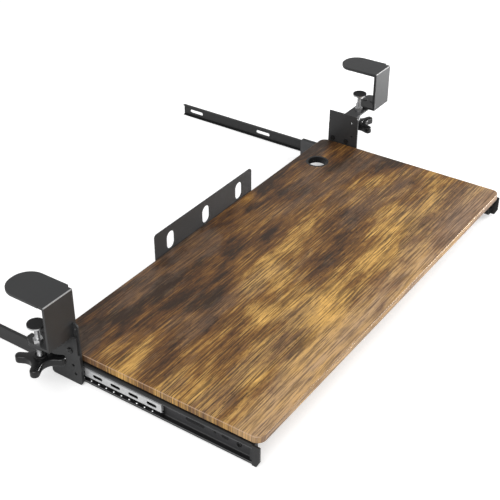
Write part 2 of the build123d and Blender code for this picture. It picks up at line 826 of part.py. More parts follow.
def make_clamp_pad(side):
    """Rubber lining under the tongue and behind the front plate."""
    pad_end = tongue_reach - pad_margin
    pad_width = clamp_width - 2 * pad_margin
    face_bottom = jaw_top + nut_height + pad_margin
    with BuildPart() as pad:
        with BuildSketch(side_plane(clamp_x[side])) as profile:
            with BuildLine():
                Polyline(
                    (pad_end, tongue_pad_gauge),
                    (clamp_face, tongue_pad_gauge),
                    (clamp_face, face_bottom),
                    (0, face_bottom),
                    (0, 0),
                    (pad_end, 0),
                    (pad_end, tongue_pad_gauge),
                )
            make_face()
            bend = profile.vertices().group_by(Axis.X)[0].sort_by(Axis.Y)[-1]
            fillet(bend, clamp_inner_radius)
        extrude(amount=pad_width / 2, both=True)
        ends = pad.edges().filter_by(Axis.Z).group_by(Axis.Y)[-1]
        fillet(ends, tongue_round - 3 * pad_margin)
    write(pad, side + "_clamp_pad")


def make_clamp_nut(side):
    """Hexagon nut that guides the clamp screw, welded on the left jaw and on the right arm."""
    with BuildPart() as nut:
        with BuildSketch(level_at(side, nut_seat[side])):
            RegularPolygon(nut_across_flats / 2, 6, major_radius=False)
            Circle(screw_radius + screw_fit, mode=Mode.SUBTRACT)
        extrude(amount=nut_height)
    write(nut, side + "_clamp_nut")


def make_pressure_pad(side):
    """Steel pad with a socket for the end of the clamp screw."""
    with BuildPart() as pad:
        with BuildSketch(level_at(side, pad_plate_bottom)):
            Circle(pad_radius)
        extrude(amount=pad_plate_gauge)
        with BuildSketch(level_at(side, collar_bottom)):
            Circle(pad_collar_radius)
        extrude(amount=pad_collar_height)
        with BuildSketch(level_at(side, collar_bottom)):
            Circle(screw_radius + screw_fit)
        extrude(amount=socket_top - collar_bottom, mode=Mode.SUBTRACT)
    write(pad, side + "_pressure_pad")


def make_pad_rubber(side):
    """Rubber disc on the pressure pad."""
    with BuildPart() as rubber:
        with BuildSketch(level_at(side, pad_plate_top)):
            Circle(pad_radius)
        extrude(amount=pad_rubber_gauge)
        fillet(rubber.edges().group_by(Axis.Z)[-1], pad_rubber_gauge / 3)
    write(rubber, side + "_pad_rubber")


def make_clamp_screw(side):
    """Clamp screw, from the pad's socket down into the knob."""
    with BuildPart() as screw:
        with BuildSketch(level_at(side, knob_bottom(side))):
            Circle(screw_radius)
        extrude(amount=socket_top - screw_fit - knob_bottom(side))
        chamfer(screw.edges().group_by(Axis.Z)[-1], screw_radius / 6)
    write(screw, side + "_clamp_screw")


def make_star_knob(side):
    """Four-armed knob moulded round the lower end of the clamp screw."""
    with BuildPart() as knob:
        with BuildSketch(level_at(side, knob_bottom(side))) as star:
            for turn in (knob_turn[side], knob_turn[side] + 90):
                SlotOverall(2 * knob_reach, knob_arm_width, rotation=turn)
            webs = star.vertices().sort_by_distance((0, 0))[:4]
            fillet(webs, knob_web_fillet)
        extrude(amount=knob_thickness)
        fillet(knob.faces().filter_by(Axis.Z).edges(), knob_edge_round)
        with BuildSketch(level_at(side, knob_top(side))):
            Circle(knob_boss_radius)
        extrude(amount=knob_boss_height)
        fillet(knob.edges().group_by(Axis.Z)[-1], knob_boss_height / 3)
        with BuildSketch(level_at(side, knob_bottom(side))):
            Circle(screw_radius)
        extrude(amount=knob_thickness + knob_boss_height, mode=Mode.SUBTRACT)
    write(knob, side + "_star_knob")


make_tray_board()
make_cable_ring()
make_rear_stop_plate()
make_wood_screws(stop_screw_places(), "rear_stop_screws")
for side in sides:
    make_clamp_body(side)
    make_clamp_pad(side)
    make_clamp_nut(side)
    make_pressure_pad(side)
    make_pad_rubber(side)
    make_clamp_screw(side)
    make_star_knob(side)
    make_hanger(side)
    make_hanger_rivets(side)
    make_slide_bracket(side)
    make_bracket_bolts(side)
    make_fixed_rail(side)
    make_fixed_rail_screws(side)
    make_ball_cage(side)
    make_balls(side)
    make_moving_rail(side)
    make_moving_rail_bolts(side)
    make_end_cap(side)
    make_tray_angle(side)
    make_wood_screws(angle_screw_places(side), side + "_angle_screws")
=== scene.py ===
"""Looks of a clamp-on keyboard tray: a rustic board on two slides, hung from two clamps."""

import json
import math

import bmesh
import bpy
from mathutils import Matrix, Vector

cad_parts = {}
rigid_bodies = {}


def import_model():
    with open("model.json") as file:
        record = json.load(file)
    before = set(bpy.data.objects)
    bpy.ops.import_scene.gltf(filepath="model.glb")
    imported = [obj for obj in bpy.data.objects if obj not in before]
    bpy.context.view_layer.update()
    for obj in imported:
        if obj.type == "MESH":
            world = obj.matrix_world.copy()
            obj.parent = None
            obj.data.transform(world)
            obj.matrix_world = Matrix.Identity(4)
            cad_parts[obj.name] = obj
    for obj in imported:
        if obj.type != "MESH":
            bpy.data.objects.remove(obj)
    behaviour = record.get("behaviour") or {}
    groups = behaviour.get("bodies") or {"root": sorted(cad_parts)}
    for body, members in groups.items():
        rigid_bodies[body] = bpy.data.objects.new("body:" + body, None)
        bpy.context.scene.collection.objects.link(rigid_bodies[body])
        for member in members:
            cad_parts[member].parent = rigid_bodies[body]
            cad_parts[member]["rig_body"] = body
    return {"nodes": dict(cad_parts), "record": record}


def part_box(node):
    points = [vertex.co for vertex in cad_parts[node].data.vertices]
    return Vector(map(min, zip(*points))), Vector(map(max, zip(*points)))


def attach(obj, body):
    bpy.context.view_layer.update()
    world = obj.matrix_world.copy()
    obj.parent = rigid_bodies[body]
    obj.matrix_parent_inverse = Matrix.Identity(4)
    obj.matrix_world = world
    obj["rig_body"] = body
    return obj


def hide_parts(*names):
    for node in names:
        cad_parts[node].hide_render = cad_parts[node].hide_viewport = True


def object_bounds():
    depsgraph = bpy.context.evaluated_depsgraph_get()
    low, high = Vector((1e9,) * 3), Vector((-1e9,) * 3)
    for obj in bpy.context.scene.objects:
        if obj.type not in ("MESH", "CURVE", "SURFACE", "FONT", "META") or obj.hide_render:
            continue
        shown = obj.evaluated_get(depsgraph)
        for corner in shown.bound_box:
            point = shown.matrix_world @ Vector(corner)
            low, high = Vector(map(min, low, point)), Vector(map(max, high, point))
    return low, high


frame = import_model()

bl_info = {
    "name": "Clamp-on keyboard tray",
    "version": (1, 0, 0),
    "blender": (4, 5, 0),
    "location": "View3D > Sidebar > Tray",
    "description": "Dresses the clamp-on keyboard tray and sets up its studio",
    "category": "Object",
}

CAD_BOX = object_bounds()
NODES = frame["nodes"]
SLOT_OF = {part["node"]: part["material_slot"] for part in frame["record"]["subparts"]}
SIDES = ("left", "right")
SHARP = math.radians(32)  # faces that meet at more than this keep an edge between them
FLAT = math.radians(0.4)  # faces that meet at less than this become one
CAD_WELD = 1e-6           # corners of the CAD's triangles closer than this are one


def box_middle(node):
    """Middle of a CAD node's box."""
    low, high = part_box(node)
    return (low + high) / 2


# Settings that a user would change


class TrayBoardSettings(bpy.types.PropertyGroup):
    """Colours and grain of the laminated board."""

    dark: bpy.props.FloatVectorProperty(
        name="Dark grain", description="Colour of the darkest stains of the laminate",
        subtype="COLOR", min=0, max=1, default=(0.030, 0.0145, 0.0070))
    brown: bpy.props.FloatVectorProperty(
        name="Brown", description="Colour of the brown patches",
        subtype="COLOR", min=0, max=1, default=(0.125, 0.051, 0.0145))
    tan: bpy.props.FloatVectorProperty(
        name="Tan", description="Colour of the plain wood between the patches",
        subtype="COLOR", min=0, max=1, default=(0.262, 0.120, 0.027))
    gold: bpy.props.FloatVectorProperty(
        name="Gold", description="Colour of the golden streaks",
        subtype="COLOR", min=0, max=1, default=(0.650, 0.372, 0.098))
    grey: bpy.props.FloatVectorProperty(
        name="Weathered grey", description="Colour of the greyed film over the wood",
        subtype="COLOR", min=0, max=1, default=(0.225, 0.155, 0.110))
    roughness: bpy.props.FloatProperty(
        name="Roughness", description="Roughness of the satin laminate",
        subtype="FACTOR", min=0, max=1, default=0.42)


class TraySteelSettings(bpy.types.PropertyGroup):
    """Finish of the painted and plated steel."""

    coat: bpy.props.FloatVectorProperty(
        name="Powder coat", description="Colour of clamps, hangers, brackets and stop plate",
        subtype="COLOR", min=0, max=1, default=(0.028, 0.0284, 0.0292))
    # The lips' rail coat and the rail web are one paint: the lips get the darker colour as painted
    # shade, the web the lighter one as painted light.
    rail: bpy.props.FloatVectorProperty(
        name="Rail coat", description="Colour of the slides' lips",
        subtype="COLOR", min=0, max=1, default=(0.012, 0.0122, 0.0126))
    web: bpy.props.FloatVectorProperty(
        name="Rail web", description="Colour of the slides' webs, between the lips",
        subtype="COLOR", min=0, max=1, default=(0.062, 0.062, 0.064))
    zinc: bpy.props.FloatVectorProperty(
        name="Zinc", description="Colour of the plated ball cages, nuts and screws",
        subtype="COLOR", min=0, max=1, default=(0.78, 0.785, 0.79))
    edge_round: bpy.props.FloatProperty(
        name="Edge round", description="Rounding of the sheared edges; the board has twice as much",
        subtype="DISTANCE", unit="LENGTH", min=0, max=0.001, precision=5, default=0.00045)


class TrayScrewSettings(bpy.types.PropertyGroup):
    """Thread of the clamp screws."""

    pitch: bpy.props.FloatProperty(
        name="Pitch", description="Rise of the thread in one turn",
        subtype="DISTANCE", unit="LENGTH", min=0.0005, max=0.003, precision=5, default=0.00125)
    depth: bpy.props.FloatProperty(
        name="Thread depth", description="Depth of the thread below its crest",
        subtype="DISTANCE", unit="LENGTH", min=0.0002, max=0.001, precision=5, default=0.0006)
    steps: bpy.props.IntProperty(
        name="Steps per turn", description="Faces round one turn of the thread",
        min=8, max=48, default=24)


class TrayKnobSettings(bpy.types.PropertyGroup):
    """Shape and colour of the star knobs."""

    arm_width: bpy.props.FloatProperty(
        name="Arm width", description="Width of an arm near its tip",
        subtype="DISTANCE", unit="LENGTH", min=0.005, max=0.03, precision=4, default=0.0136)
    web_round: bpy.props.FloatProperty(
        name="Web round", description="How far the hollow between two arms reaches up the arms",
        subtype="DISTANCE", unit="LENGTH", min=0.002, max=0.03, precision=4, default=0.0165)
    edge_round: bpy.props.FloatProperty(
        name="Edge round", description="Rounding of the moulded rims",
        subtype="DISTANCE", unit="LENGTH", min=0.0005, max=0.004, precision=4, default=0.0024)
    colour: bpy.props.FloatVectorProperty(
        name="Plastic", description="Colour of the knobs",
        subtype="COLOR", min=0, max=1, default=(0.0045, 0.0045, 0.0048))


class TrayStageSettings(bpy.types.PropertyGroup):
    """Camera, floor and lamps."""

    eye: bpy.props.FloatVectorProperty(
        name="Camera", description="Where the camera stands",
        subtype="XYZ", unit="LENGTH", default=(-1.19314, -0.8545, 0.8265))
    look: bpy.props.FloatVectorProperty(
        name="Looking direction", description="Direction in which the camera looks",
        subtype="DIRECTION", default=(0.6886, 0.4738, -0.5490))
    lens: bpy.props.FloatProperty(
        name="Focal length", description="Focal length of the lens, in millimetres",
        min=10, max=300, default=74.83)
    shift: bpy.props.FloatVectorProperty(
        name="Shift", description="Sideways and upward shift of the picture, as a share of it",
        size=2, default=(0.0053, -0.0018))
    floor: bpy.props.FloatVectorProperty(
        name="Floor", description="Colour of the pale floor",
        subtype="COLOR", min=0, max=1, default=(0.86, 0.86, 0.86))
    key_power: bpy.props.FloatProperty(
        name="Key lamp", description="Power of the large lamp at the left, in watts",
        min=0, max=500, default=56)
    side_power: bpy.props.FloatProperty(
        name="Side lamp", description="Power of the low lamp at the front right, in watts",
        min=0, max=500, default=48)
    front_power: bpy.props.FloatProperty(
        name="Front lamp", description="Power of the small, high lamp at the front right, in watts",
        min=0, max=500, default=10)
    sky: bpy.props.FloatProperty(
        name="Surround", description="Strength of the white surround on the object",
        min=0, max=2, default=0.50)


# Shader nodes


class Tree:
    """Short calls for placing and joining shader nodes."""

    def __init__(self, tree):
        self.tree = tree

    def add(self, kind, settings=None, **inputs):
        """Place a node; inputs are named by socket, with _ for a blank."""
        made = self.tree.nodes.new(kind)
        for name, value in (settings or {}).items():
            setattr(made, name, value)
        for name, value in inputs.items():
            self.feed(made.inputs[name.replace("_", " ")], value)
        return made

    def feed(self, socket, value):
        """Join an output to a socket, or set the socket's own value."""
        if isinstance(value, bpy.types.NodeSocket):
            self.tree.links.new(value, socket)
        elif socket.type == "RGBA" and len(value) == 3:
            socket.default_value = (*value, 1)
        else:
            socket.default_value = value

    def math(self, operation, first, second=0.5, clamp=False):
        """One sum of two values."""
        made = self.add("ShaderNodeMath", {"operation": operation, "use_clamp": clamp})
        self.feed(made.inputs[0], first)
        self.feed(made.inputs[1], second)
        return made.outputs[0]

    def plus(self, first, second):
        """The two values added."""
        return self.math("ADD", first, second)

    def less(self, first, second):
        """The first value less the second."""
        return self.math("SUBTRACT", first, second)

    def times(self, first, second):
        """The two values multiplied."""
        return self.math("MULTIPLY", first, second)

    def place(self):
        """X, Y and Z of the shaded point, in metres."""
        coords = self.add("ShaderNodeTexCoord")
        return self.add("ShaderNodeSeparateXYZ", Vector=coords.outputs["Object"]).outputs

    def stretch(self, vector, scale, shift=(0, 0, 0)):
        """A pattern's coordinates, stretched and moved."""
        made = self.add("ShaderNodeMapping")
        self.feed(made.inputs["Vector"], vector)
        made.inputs["Scale"].default_value = scale
        made.inputs["Location"].default_value = shift
        return made.outputs[0]

    def noise(self, vector, scale, detail, rough):
        """Soft noise between 0 and 1."""
        made = self.add("ShaderNodeTexNoise", Vector=vector)
        made.inputs["Scale"].default_value = scale
        made.inputs["Detail"].default_value = detail
        made.inputs["Roughness"].default_value = rough
        return made.outputs[0]

    def band(self, value, low, high, start=0.0, end=1.0):
        """Spread a band of values over a new range, without going past its ends."""
        made = self.add("ShaderNodeMapRange", {"clamp": True}, Value=value)
        made.inputs["From Min"].default_value = low
        made.inputs["From Max"].default_value = high
        made.inputs["To Min"].default_value = start
        made.inputs["To Max"].default_value = end
        return made.outputs[0]

    def blend(self, factor, first, second):
        """Mix two colours."""
        made = self.add("ShaderNodeMix", {"data_type": "RGBA"})
        self.feed(made.inputs[0], factor)
        self.feed(made.inputs[6], first)
        self.feed(made.inputs[7], second)
        return made.outputs[2]

    def scaled(self, colour, factor):
        """A colour made brighter or darker."""
        made = self.add("ShaderNodeVectorMath", {"operation": "SCALE"})
        self.feed(made.inputs[0], colour)
        self.feed(made.inputs["Scale"], factor)
        return made.outputs[0]

    def ramp(self, factor, stops):
        """Colours along a value."""
        made = self.add("ShaderNodeValToRGB", Fac=factor)
        scale = made.color_ramp
        while len(scale.elements) < len(stops):
            scale.elements.new(0.5)
        for element, (place, colour) in zip(scale.elements, stops):
            element.position = place
            element.color = (*colour, 1)
        return made.outputs[0]

    def bump(self, height, distance, strength):
        """Surface relief from a height between 0 and 1."""
        made = self.add("ShaderNodeBump", Height=height)
        made.inputs["Distance"].default_value = distance
        made.inputs["Strength"].default_value = strength
        return made.outputs[0]


def shade_of(colour, factor):
    """A set colour made brighter or darker, up to white."""
    return tuple(min(1.0, factor * part) for part in colour)


def finish_of(slot):
    """The finished material of a slot."""
    return bpy.data.materials["tray_" + slot]


def new_finish(slot, colour, roughness, normal, **fixed):
    """Give a material its surface shader."""
    tree = Tree(finish_of(slot).node_tree)
    surface = tree.add(
        "ShaderNodeBsdfPrincipled", Base_Color=colour, Roughness=roughness, Normal=normal)
    for name, value in fixed.items():
        surface.inputs[name.replace("_", " ")].default_value = value
    out = tree.add("ShaderNodeOutputMaterial")
    tree.feed(out.inputs["Surface"], surface.outputs[0])


def open_finish(slot):
    """An empty material of that name, and its tree."""
    material = bpy.data.materials.new("tray_" + slot)
    material.use_nodes = True
    material.node_tree.nodes.clear()
    return Tree(material.node_tree)


def open_group(name, inputs, outputs):
    """An empty shader node group; returns its tree, its input node and its output node."""
    group = bpy.data.node_groups.new(name, "ShaderNodeTree")
    for socket, kind, value in inputs:
        made = group.interface.new_socket(name=socket, in_out="INPUT", socket_type=kind)
        made.default_value = value
    for socket, kind in outputs:
        group.interface.new_socket(name=socket, in_out="OUTPUT", socket_type=kind)
    tree = Tree(group)
    return tree, tree.add("NodeGroupInput"), tree.add("NodeGroupOutput")


def use_group(tree, name, **inputs):
    """Place a node group in a material."""
    made = tree.add("ShaderNodeGroup", {"node_tree": bpy.data.node_groups[name]})
    for socket, value in inputs.items():
        tree.feed(made.inputs[socket], value)
    return made


COLOUR = "NodeSocketColor"
NUMBER = "NodeSocketFloat"

# Patterns of the pebbled skin and of the plated steel: waves per metre, octaves, roughness
SKIN = {
    "fine": (2300.0, 2.0, 0.5),
    "broad": (14.0, 3.0, 0.6),
    "soft": (95.0, 3.0, 0.6),
    "specks": (620.0, 3.0, 0.7),
}
PLATE = {
    "lines": (1.0, 3.0, 0.6),
    "clouds": (180.0, 3.0, 0.65),
    "spots": (70.0, 4.0, 0.7),
}
ROLLED = (2600.0, 60.0, 2600.0)       # waves per metre of the rolling lines, which lie along Y
CELL_SOFTNESS = 0.8
CELL_HEIGHT, FINE_HEIGHT = 0.75, 0.35
LINE_HEIGHT, CLOUD_HEIGHT = 0.7, 0.3
SPECK_BAND = (0.66, 0.80)
SPOT_BAND = (0.52, 0.74)
CLOUD_BAND = (0.3, 0.7, 0.90, 1.0)    # clouds from and to, and the brightness at both
SKIN_UNEVEN = 0.18                    # how far the roughness wanders
PLATE_UNEVEN = 0.22
LINE_MIDDLE = 0.45
DUST = (0.35, 0.34, 0.33)


def make_coat_group():
    """Fine pebbled skin, as powder coat and moulded plastic have it."""
    tree, given, out = open_group(
        "pebbled_skin",
        [("Colour", COLOUR, (0, 0, 0, 1)), ("Scale", NUMBER, 900.0), ("Variation", NUMBER, 0.25),
         ("Roughness", NUMBER, 0.45), ("Dust", NUMBER, 0.1)],
        [("Colour", COLOUR), ("Roughness", NUMBER), ("Height", NUMBER)])
    place = tree.add("ShaderNodeTexCoord").outputs["Object"]
    cells = tree.add("ShaderNodeTexVoronoi", {"feature": "SMOOTH_F1"},
                     Vector=place, Scale=given.outputs["Scale"])
    cells.inputs["Smoothness"].default_value = CELL_SOFTNESS
    fine = tree.noise(place, *SKIN["fine"])
    height = tree.plus(
        tree.times(cells.outputs["Distance"], CELL_HEIGHT), tree.times(fine, FINE_HEIGHT))
    broad = tree.noise(place, *SKIN["broad"])
    soft = tree.noise(place, *SKIN["soft"])
    tone = tree.times(tree.less(tree.plus(broad, soft), 1.0), given.outputs["Variation"])
    toned = tree.scaled(given.outputs["Colour"], tree.plus(tone, 1.0))
    specks = tree.band(tree.noise(place, *SKIN["specks"]), *SPECK_BAND)
    dusty = tree.blend(tree.times(specks, given.outputs["Dust"]), toned, DUST)
    uneven = tree.times(tree.less(soft, 0.5), SKIN_UNEVEN)
    tree.feed(out.inputs["Colour"], dusty)
    tree.feed(out.inputs["Roughness"], tree.math("ADD", given.outputs["Roughness"], uneven, True))
    tree.feed(out.inputs["Height"], height)


def make_plating_group():
    """Rolled and plated steel: fine lines along the slides and faint cloudy spangles."""
    tree, given, out = open_group(
        "plated_steel",
        [("Colour", COLOUR, (0.7, 0.7, 0.7, 1)), ("Roughness", NUMBER, 0.3),
         ("Tarnish", NUMBER, 0.3)],
        [("Colour", COLOUR), ("Roughness", NUMBER), ("Height", NUMBER)])
    place = tree.add("ShaderNodeTexCoord").outputs["Object"]
    lines = tree.noise(tree.stretch(place, ROLLED), *PLATE["lines"])
    clouds = tree.noise(place, *PLATE["clouds"])
    spots = tree.band(tree.noise(place, *PLATE["spots"]), *SPOT_BAND)
    bright = tree.less(1.0, tree.times(spots, given.outputs["Tarnish"]))
    bright = tree.times(bright, tree.band(clouds, *CLOUD_BAND))
    toned = tree.scaled(given.outputs["Colour"], bright)
    uneven = tree.times(tree.less(lines, LINE_MIDDLE), PLATE_UNEVEN)
    tree.feed(out.inputs["Colour"], toned)
    tree.feed(out.inputs["Roughness"], tree.math("ADD", given.outputs["Roughness"], uneven, True))
    height = tree.plus(tree.times(lines, LINE_HEIGHT), tree.times(clouds, CLOUD_HEIGHT))
    tree.feed(out.inputs["Height"], height)


# Pebbled finishes: roughness, cells per metre, relief, variation of tone, dust
COATS = {
    "frame_paint": (0.40, 1000.0, 0.00005, 0.22, 0.05),
    "rail_paint": (0.36, 1300.0, 0.00003, 0.25, 0.03),
    "fastener_black": (0.24, 1500.0, 0.00002, 0.30, 0.02),
    "knob_plastic": (0.30, 1200.0, 0.00003, 0.20, 0.01),
    "trim_plastic": (0.42, 1300.0, 0.00004, 0.20, 0.03),
    "pad_rubber": (0.72, 700.0, 0.00010, 0.35, 0.10),
}
# Plated finishes: roughness, relief, tarnish, metallic share
PLATINGS = {
    "cage_zinc": (0.42, 0.00003, 0.12, 0.7),
    "fastener_zinc": (0.34, 0.00003, 0.35, 1.0),
    "ball_steel": (0.10, 0.00001, 0.12, 1.0),
}
SKIN_BUMP = 0.6
PLATE_BUMP = 0.5


def coat_finish(slot, colour, tree=None):
    """A dark pebbled finish; a tree that is given already makes its colour."""
    tree = tree or open_finish(slot)
    roughness, cells, relief, variation, dust = COATS[slot]
    skin = use_group(tree, "pebbled_skin", Colour=colour, Scale=cells, Variation=variation,
                     Roughness=roughness, Dust=dust)
    normal = tree.bump(skin.outputs["Height"], relief, SKIN_BUMP)
    new_finish(slot, skin.outputs["Colour"], skin.outputs["Roughness"], normal)


def plated_finish(slot, colour, cover=None):
    """A bright metal finish; cover makes a mask, and the colour that hides the metal there."""
    tree = open_finish(slot)
    paint = cover(tree) if cover else None
    roughness, relief, tarnish, metallic = PLATINGS[slot]
    metal = use_group(tree, "plated_steel", Colour=colour, Roughness=roughness, Tarnish=tarnish)
    seen = metal.outputs["Colour"]
    if paint:
        seen = tree.blend(paint[0], seen, paint[1])
    normal = tree.bump(metal.outputs["Height"], relief, PLATE_BUMP)
    new_finish(slot, seen, metal.outputs["Roughness"], normal, Metallic=metallic)


def dress(slots):
    """Put finished materials on every CAD node of those slots."""
    for node, slot in SLOT_OF.items():
        if slot in slots:
            cad = NODES[node]
            if not cad.material_slots:
                cad.data.materials.append(None)
            for place in cad.material_slots:
                place.material = finish_of(slot)


# Mesh work


def add_piece(name, bm, slot, body, *replaced):
    """Turn a bmesh into a finished piece that stands for CAD nodes and rides on a body."""
    bmesh.ops.recalc_face_normals(bm, faces=bm.faces)
    mesh = bpy.data.meshes.new(name)
    bm.to_mesh(mesh)
    bm.free()
    mesh.polygons.foreach_set("use_smooth", [True] * len(mesh.polygons))
    mesh.set_sharp_from_angle(angle=SHARP)
    mesh.materials.append(finish_of(slot))
    piece = bpy.data.objects.new(name, mesh)
    bpy.context.scene.collection.objects.link(piece)
    if replaced:
        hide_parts(*replaced)
    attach(piece, body)
    return piece


def body_of(node):
    """The body that a CAD node rides on."""
    return NODES[node]["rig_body"]


def flat_rims(bm, level, slack=1e-6):
    """Edges that lie level at that height."""
    return [edge for edge in bm.edges if all(abs(vert.co.z - level) < slack for vert in edge.verts)]


def round_off(bm, geom, affect, offset, segments, clamp=False):
    """Round those corners or edges."""
    bmesh.ops.bevel(bm, geom=geom, affect=affect, offset=offset, segments=segments,
                    profile=0.5, material=-1, clamp_overlap=clamp)


def copy_of(node):
    """A merged copy of a CAD node, with its flat faces made whole."""
    bm = bmesh.new()
    bm.from_mesh(NODES[node].data)
    bmesh.ops.remove_doubles(bm, verts=bm.verts, dist=CAD_WELD)
    bmesh.ops.dissolve_limit(bm, angle_limit=FLAT, verts=bm.verts, edges=bm.edges)
    return bm


# Board

# Patterns of the printed wood: waves per metre along and across the board, octaves, roughness
# and shift
PRINT = {
    "sway": ((1.7, 5.0), 2.0, 0.5, (0, 0)),
    "patches": ((4.2, 11.0), 6.0, 0.62, (3.1, 0.7)),
    "bundles": ((15.0, 95.0), 4.0, 0.65, (0, 0)),
    "streaks": ((13.0, 400.0), 3.0, 0.66, (0, 0)),
    "hairs": ((26.0, 900.0), 2.0, 0.6, (0, 0)),
    "flecks": ((95.0, 210.0), 3.0, 0.6, (0, 0)),
    "film": ((4.2, 13.0), 5.0, 0.62, (7.4, 2.2)),
}
# What each layer of the print takes from a pattern or from the place across the board, in metres:
# a band of it, from and to, and the layer's strength at both
LAYERS = {
    # Some layers are painted light and shade, not print: darker towards the rear and lighter
    # towards the front, a sheen near the front edge, and a highlight on the rounded edges at the
    # sides.
    "painted shade by place": (-0.30, 0.04, -0.085, 0.130),
    "tone": (0.53, 0.85),
    "painted sheen by place": (-0.22, -0.29, 0.0, 0.06),
    "film": (0.50, 0.57),
    "film by streaks": (0.30, 0.70, 0.45, 1.0),
    "dark lines": (0.485, 0.55),
    "lines by bundles": (0.34, 0.62, 0.42, 0.86),
    "light lines": (0.44, 0.36),
    "lights by tone": (0.15, 0.7, 0.12, 0.62),
    "flecks": (0.56, 0.66),
    "flecks by patches": (0.40, 0.56, 0.75, 0.15),
    "pores": (0.56, 0.70),
    "front sheen by place": (-0.255, -0.295, 0.0, 0.60),
    "front sheen by bundles": (0.36, 0.62, 0.35, 1.0),
    "front sheen by streaks": (0.62, 0.46, 0.3, 1.0),
    "side edge highlight": (0.06, 0.15, 0.0, 0.55),
    "polish": (0.2, 0.8),
}
TONES = (0.00, 0.20, 0.52, 0.86, 1.00)  # of the dark, brown, tan, gold and lightest wood
SWAY = 0.012                            # how far the grain wanders across the board
BUNDLE_SHARE = 0.38                     # of the bundles in the tone, next to the patches
FILM_SHARE = 0.48
PORE_SHARE = 0.50
LIGHTEST = 1.35                         # next to the golden streaks
LINE_SHADE = 1.5                        # next to the darkest stains
FRONT_SHEEN_SHADE = 2.1                       # painted sheen of the front edge, next to the greyed film
SIDE_HIGHLIGHT_SHADE = 1.25                       # painted highlight on the rounded sides, next to the painted sheen of the front edge
ROUGHER = (-0.07, 0.08)                 # change of the roughness in weak and strong streaks
STREAK_HEIGHT, PORE_DEPTH = 0.6, 0.7
GRAIN_RELIEF = 0.00012
GRAIN_BUMP = 0.7
BOARD_SHEEN = 0.4


def printed(tree, grain, name):
    """One pattern of the printed wood."""
    waves, octaves, rough, shift = PRINT[name]
    return tree.noise(tree.stretch(grain, (*waves, 1.0), (*shift, 0.0)), 1.0, octaves, rough)


def layer(tree, value, name):
    """What a layer of the print takes from a value."""
    return tree.band(value, *LAYERS[name])


class TRAY_OT_board_finish(bpy.types.Operator):
    """Give the board its rustic laminate"""

    bl_idname = "tray.board_finish"
    bl_label = "Board laminate"

    def execute(self, context):
        look = context.scene.tray_board
        tree = open_finish("board_wood")
        coords = tree.add("ShaderNodeTexCoord")
        place = tree.add("ShaderNodeSeparateXYZ", Vector=coords.outputs["Object"]).outputs
        facing = tree.add("ShaderNodeSeparateXYZ", Vector=coords.outputs["Normal"]).outputs
        grain = self.along_grain(tree, place, facing)
        patches = printed(tree, grain, "patches")
        bundles = printed(tree, grain, "bundles")
        streaks = printed(tree, grain, "streaks")
        hairs = printed(tree, grain, "hairs")
        flecks = printed(tree, grain, "flecks")
        tone = tree.plus(patches, tree.times(bundles, BUNDLE_SHARE))
        # Painted shade and light: the tone is darkened towards the rear of the board and lightened
        # towards the front.
        tone = tree.less(tone, layer(tree, place[1], "painted shade by place"))
        tone = layer(tree, tone, "tone")
        woods = (look.dark, look.brown, look.tan, look.gold, shade_of(look.gold, LIGHTEST))
        colour = tree.ramp(tone, list(zip(TONES, woods)))
        # A greyed film of the print lies over part of the wood; near the front edge it is made
        # stronger as a painted sheen.
        film = printed(tree, grain, "film")
        film = tree.plus(film, layer(tree, place[1], "painted sheen by place"))
        film = tree.times(layer(tree, film, "film"), layer(tree, streaks, "film by streaks"))
        colour = tree.blend(tree.times(film, FILM_SHARE), colour, look.grey)
        # Dark and light grain lines, dark flecks in the dark patches, and fine pores
        lines = layer(tree, streaks, "dark lines")
        lines = tree.times(lines, layer(tree, bundles, "lines by bundles"))
        colour = tree.blend(lines, colour, shade_of(look.dark, LINE_SHADE))
        lights = layer(tree, streaks, "light lines")
        lights = tree.times(lights, layer(tree, tone, "lights by tone"))
        colour = tree.blend(lights, colour, look.gold)
        spots = tree.times(
            layer(tree, flecks, "flecks"), layer(tree, patches, "flecks by patches"))
        colour = tree.blend(spots, colour, look.dark)
        pores = layer(tree, hairs, "pores")
        colour = tree.blend(tree.times(pores, PORE_SHARE), colour, look.dark)
        # A painted sheen pales the print along the front edge, and a painted highlight lies on the
        # rounded edges at the sides.
        pale = shade_of(look.grey, FRONT_SHEEN_SHADE)
        front = layer(tree, place[1], "front sheen by place")
        front = tree.times(front, layer(tree, bundles, "front sheen by bundles"))
        front = tree.times(front, layer(tree, streaks, "front sheen by streaks"))
        colour = tree.blend(front, colour, pale)
        # Painted highlight: the rounded edges at the sides are made paler where they turn from the
        # top.
        tilted = tree.times(facing[2], tree.less(1.0, facing[2]))
        sideways = tree.times(tilted, tree.math("ABSOLUTE", facing[0]))
        edge = layer(tree, sideways, "side edge highlight")
        colour = tree.blend(edge, colour, shade_of(pale, SIDE_HIGHLIGHT_SHADE))
        weak, strong = (look.roughness + change for change in ROUGHER)
        rough = tree.band(streaks, *LAYERS["polish"], weak, strong)
        relief = tree.less(tree.times(streaks, STREAK_HEIGHT), tree.times(pores, PORE_DEPTH))
        normal = tree.bump(relief, GRAIN_RELIEF, GRAIN_BUMP)
        new_finish("board_wood", colour, rough, normal, Specular_IOR_Level=BOARD_SHEEN)
        dress(["board_wood"])
        return {"FINISHED"}

    def along_grain(self, tree, place, facing):
        """The point's place along and across the grain, which wanders a little."""
        # On the front and back edge bands the grain lines lie above each other.
        front_share = tree.math("POWER", tree.math("ABSOLUTE", facing[1]), 2.0)
        across = tree.plus(place[1], tree.times(place[2], front_share))
        flat = tree.add("ShaderNodeCombineXYZ", X=place[0], Y=across)
        sway = printed(tree, flat.outputs[0], "sway")
        swayed = tree.plus(across, tree.times(tree.less(sway, 0.5), SWAY))
        return tree.add("ShaderNodeCombineXYZ", X=place[0], Y=swayed).outputs[0]


# Steel, plastic and rubber

